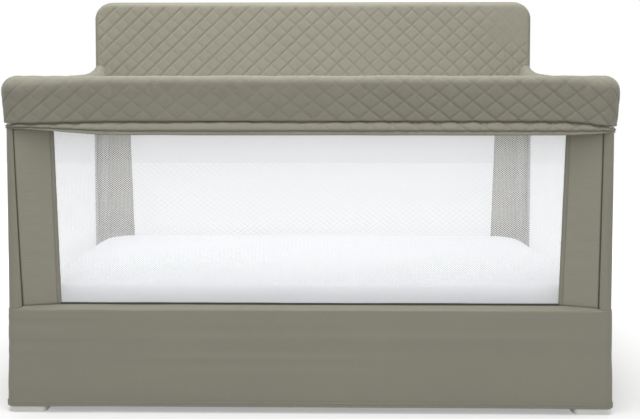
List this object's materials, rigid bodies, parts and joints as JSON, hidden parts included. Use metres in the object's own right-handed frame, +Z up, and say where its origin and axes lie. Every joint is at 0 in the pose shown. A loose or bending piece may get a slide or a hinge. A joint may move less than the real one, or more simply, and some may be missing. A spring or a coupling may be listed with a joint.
{
  "type": "crib",
  "caption": "Crib with a tube frame, padded quilted rails and headboard, net walls, a fabric skirt, and a mattress on a support that hooks on at set heights.",
  "frame": {"origin": "on the floor under the middle of the crib", "axes": "+X to the right along the long side, +Y to the headboard at the back, +Z up"},
  "size_m": [1.432, 0.814, 1.038],
  "materials": {
    "frame_tube": "satin",
    "fastener_steel": "satin",
    "support_steel": "satin",
    "foot_white": "matte",
    "joint_grey": "matte",
    "quilted_fabric": "matte",
    "plain_fabric": "matte",
    "foam": "matte",
    "net": "matte",
    "deck_wood": "matte",
    "sheet_white": "matte"
  },
  "bodies": {
    "crib_frame": {"corner_strips_back_left": "plain_fabric", "corner_strips_back_right": "plain_fabric", "corner_strips_front_left": "plain_fabric", "corner_strips_front_right": "plain_fabric", "feet": "foot_white", "headboard_cover": "quilted_fabric", "headboard_foam": "foam", "headboard_frame": "frame_tube", "lower_band_back": "plain_fabric", "lower_band_front": "plain_fabric", "lower_band_left": "plain_fabric", "lower_band_right": "plain_fabric", "lower_rail_back": "frame_tube", "lower_rail_bolts": "fastener_steel", "lower_rail_front": "frame_tube", "lower_rail_left": "frame_tube", "lower_rail_right": "frame_tube", "lower_rail_sockets": "joint_grey", "net_back": "net", "net_front": "net", "net_left": "net", "net_right": "net", "post_back_left": "frame_tube", "post_back_right": "frame_tube", "post_front_left": "frame_tube", "post_front_right": "frame_tube", "post_sleeves": "plain_fabric", "rail_cover_front": "quilted_fabric", "rail_cover_left": "quilted_fabric", "rail_cover_right": "quilted_fabric", "rail_foam_back": "foam", "rail_foam_front": "foam", "rail_foam_left": "foam", "rail_foam_right": "foam", "rail_screws": "fastener_steel", "skirt_back": "plain_fabric", "skirt_front": "plain_fabric", "skirt_left": "plain_fabric", "skirt_right": "plain_fabric", "stud_inserts": "fastener_steel", "support_studs": "fastener_steel", "top_hub_back_left": "joint_grey", "top_hub_back_right": "joint_grey", "top_hub_front_left": "joint_grey", "top_hub_front_right": "joint_grey", "top_rail_back": "frame_tube", "top_rail_front": "frame_tube", "top_rail_left": "frame_tube", "top_rail_right": "frame_tube"},
    "mattress_support": {"support_long_tubes": "support_steel", "support_cross_tubes": "support_steel", "hook_plates": "support_steel", "hook_bolts": "fastener_steel", "deck_board": "deck_wood"},
    "mattress": {"mattress_core": "foam", "fitted_sheet": "sheet_white"}
  },
  "joints": [
    {"name": "mattress_support_lift", "type": "slide", "parent": "crib_frame", "child": "mattress_support", "axis": [0, 0, 1], "range_m": [0, 0.22]},
    {"name": "mattress_lift", "type": "slide", "parent": "mattress_support", "child": "mattress", "axis": [0, 0, 1], "range_m": [0, 0.6]}
  ]
}
